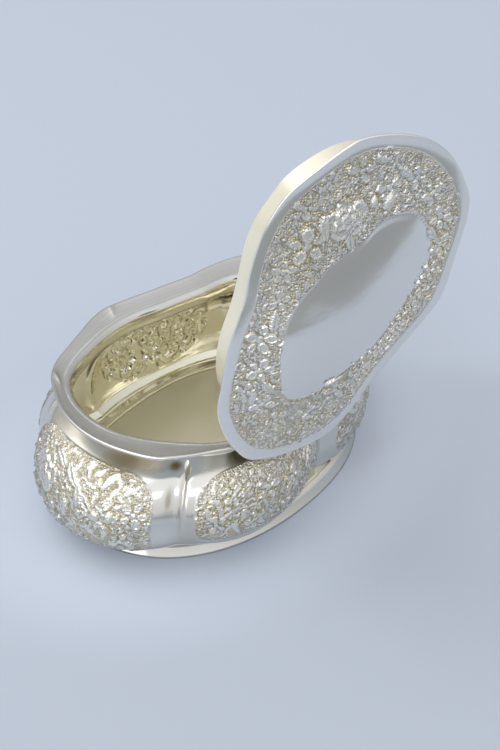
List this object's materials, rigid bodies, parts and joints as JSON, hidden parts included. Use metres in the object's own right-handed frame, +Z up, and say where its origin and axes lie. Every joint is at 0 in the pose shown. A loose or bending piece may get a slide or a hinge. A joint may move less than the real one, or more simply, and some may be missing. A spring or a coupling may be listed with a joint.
{
  "type": "lidded silver trinket box",
  "caption": "Oval lobed box of raised silver sheet with flower panels, a dished lip and a soldered floor; its loose domed lid stands open on the lip.",
  "frame": {"origin": "centre of the oval foot, on the surface the box stands on", "axes": "+Z up, X along the box's long axis, the lid stands on the lip of the -Y side"},
  "size_m": [0.1351, 0.1149, 0.143],
  "materials": {
    "chased_silver": "raised and chased sterling silver, polished highs and warm tarnish in the lows",
    "gilt_floor": "matte silver floor with an old pale gold wash",
    "lid_silver": "raised and chased sterling silver, polished cartouche and border",
    "plain_silver": "plain polished silver band with an old pale gold wash"
  },
  "bodies": {
    "root": {"box_body": "chased_silver", "base_plate": "gilt_floor", "lid_cover": "lid_silver", "lid_bezel": "plain_silver"}
  },
  "joints": []
}
